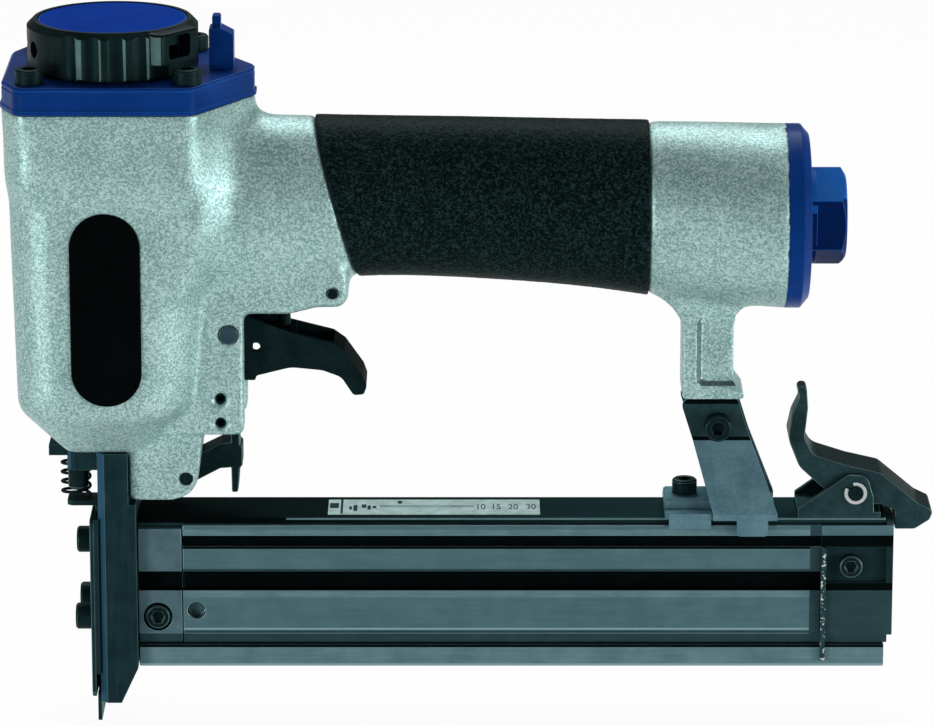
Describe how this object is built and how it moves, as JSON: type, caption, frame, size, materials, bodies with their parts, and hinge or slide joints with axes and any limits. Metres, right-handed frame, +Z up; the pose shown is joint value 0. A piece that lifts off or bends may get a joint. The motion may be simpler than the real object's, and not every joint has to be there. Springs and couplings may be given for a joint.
{
  "type": "air nailer",
  "caption": "Pneumatic brad nailer with a cast body, rubber grip, turning exhaust deflector, sprung contact foot, and a magazine whose side cover slides back behind a latch.",
  "frame": {"origin": "centre of the driver channel on the nose face that stands on the work", "axes": "+Z up the driving axis to the exhaust, +X to the rear along handle and magazine, -Y the side with the badge and the sliding cover"},
  "size_m": [0.2365, 0.054, 0.1853],
  "materials": {
    "cast_grey": "light grey textured paint on a casting",
    "blue": "blue paint on a casting",
    "grip": "fine grained black rubber",
    "black_plastic": "black moulded plastic",
    "badge": "gloss black",
    "label": "pale printed strip",
    "black_steel": "black oxide",
    "black_sheet": "black coated sheet",
    "nose_steel": "dark hardened steel",
    "steel": "bright steel",
    "magazine_alloy": "dark anodised extrusion",
    "rail_alloy": "black anodised extrusion",
    "bare_alloy": "machined",
    "brass": "turned",
    "seal": "black rubber"
  },
  "bodies": {
    "frame": {"housing": "cast_grey", "handle_grip": "grip", "end_cap": "blue", "end_cap_seal": "seal", "inlet_fitting": "blue", "badge_plate": "badge", "cylinder_cap": "blue", "cap_gasket": "seal", "cap_bolts": "black_steel", "deflector_bolt": "steel", "cylinder_liner": "bare_alloy", "liner_seal": "seal", "bumper": "seal", "head_valve_spring": "steel", "trigger_pin": "black_steel", "trigger_valve_body": "brass", "valve_spring": "steel", "retaining_pin": "black_steel", "guide_pins": "black_steel", "safety_pin": "black_steel", "safety_spring": "steel", "nose_block": "nose_steel", "nose_spacers": "nose_steel", "nose_cover": "nose_steel", "nose_bolts": "black_steel", "nose_flange_bolts": "black_steel", "contact_spring": "black_steel", "magazine_rail": "rail_alloy", "magazine_front_block": "rail_alloy", "front_block_bolt": "black_steel", "scale_label": "label", "rear_bracket": "black_sheet", "bracket_bolt": "black_steel", "bracket_nut": "black_steel", "clamp_bolt": "black_steel", "latch_bracket": "black_sheet", "latch_pin": "steel", "latch_clip": "steel", "latch_spring": "steel"},
    "deflector": {"exhaust_deflector": "black_plastic", "deflector_disc": "blue"},
    "piston": {"piston": "bare_alloy", "piston_ring": "seal", "driver_blade": "steel", "driver_pin": "steel"},
    "head_valve": {"head_valve": "black_plastic"},
    "trigger": {"trigger": "black_steel"},
    "valve_stem": {"valve_stem": "black_steel"},
    "safety": {"safety_lever": "black_steel"},
    "foot": {"contact_foot": "nose_steel"},
    "cover": {"magazine_cover": "magazine_alloy", "magazine_end_piece": "rail_alloy", "end_piece_bolt": "black_steel", "pusher_spring": "steel"},
    "pusher": {"pusher": "steel"},
    "latch": {"latch_lever": "black_sheet"}
  },
  "joints": [
    {"name": "piston_stroke", "type": "slide", "parent": "frame", "child": "piston", "axis": [0, 0, -1], "range_m": [0, 0.045]},
    {"name": "head_valve_lift", "type": "slide", "parent": "frame", "child": "head_valve", "axis": [0, 0, 1], "range_m": [0, 0.003], "stiffness_N_per_m": 600, "springref_m": -0.004, "deforming": ["head_valve_spring"]},
    {"name": "deflector_turn", "type": "hinge", "parent": "frame", "child": "deflector", "pos_m": [0, 0, 0.17], "axis": [0, 0, 1], "continuous": true},
    {"name": "trigger_pull", "type": "hinge", "parent": "frame", "child": "trigger", "pos_m": [0.0289, 0, 0.0987], "axis": [0, -1, 0], "range_deg": [0, 10], "stiffness_Nm_per_rad": 0.4, "springref_deg": -11.46},
    {"name": "valve_stem_lift", "type": "slide", "parent": "frame", "child": "valve_stem", "axis": [0, 0, 1], "range_m": [0, 0.0025], "deforming": ["valve_spring"]},
    {"name": "safety_release", "type": "hinge", "parent": "frame", "child": "safety", "pos_m": [0.0175, 0, 0.0596], "axis": [0, 1, 0], "range_deg": [0, 10], "stiffness_Nm_per_rad": 0.1, "springref_deg": -17.19, "deforming": ["safety_spring"]},
    {"name": "foot_press", "type": "slide", "parent": "frame", "child": "foot", "axis": [0, 0, 1], "range_m": [0, 0.006], "stiffness_N_per_m": 120, "springref_m": -0.007, "deforming": ["contact_spring"]},
    {"name": "cover_slide", "type": "slide", "parent": "frame", "child": "cover", "axis": [1, 0, 0], "range_m": [0, 0.11]},
    {"name": "pusher_slide", "type": "slide", "parent": "cover", "child": "pusher", "axis": [1, 0, 0], "range_m": [0, 0.12], "stiffness_N_per_m": 40, "springref_m": -0.1, "deforming": ["pusher_spring"]},
    {"name": "latch_release", "type": "hinge", "parent": "frame", "child": "latch", "pos_m": [0.1891, 0, 0.0554], "axis": [0, -1, 0], "range_deg": [0, 17], "stiffness_Nm_per_rad": 0.3, "springref_deg": -17.19, "deforming": ["latch_spring"]}
  ],
  "couplings": [
    {"joint": "valve_stem_lift", "follows": "trigger_pull", "m_per_rad": 0.0138}
  ]
}
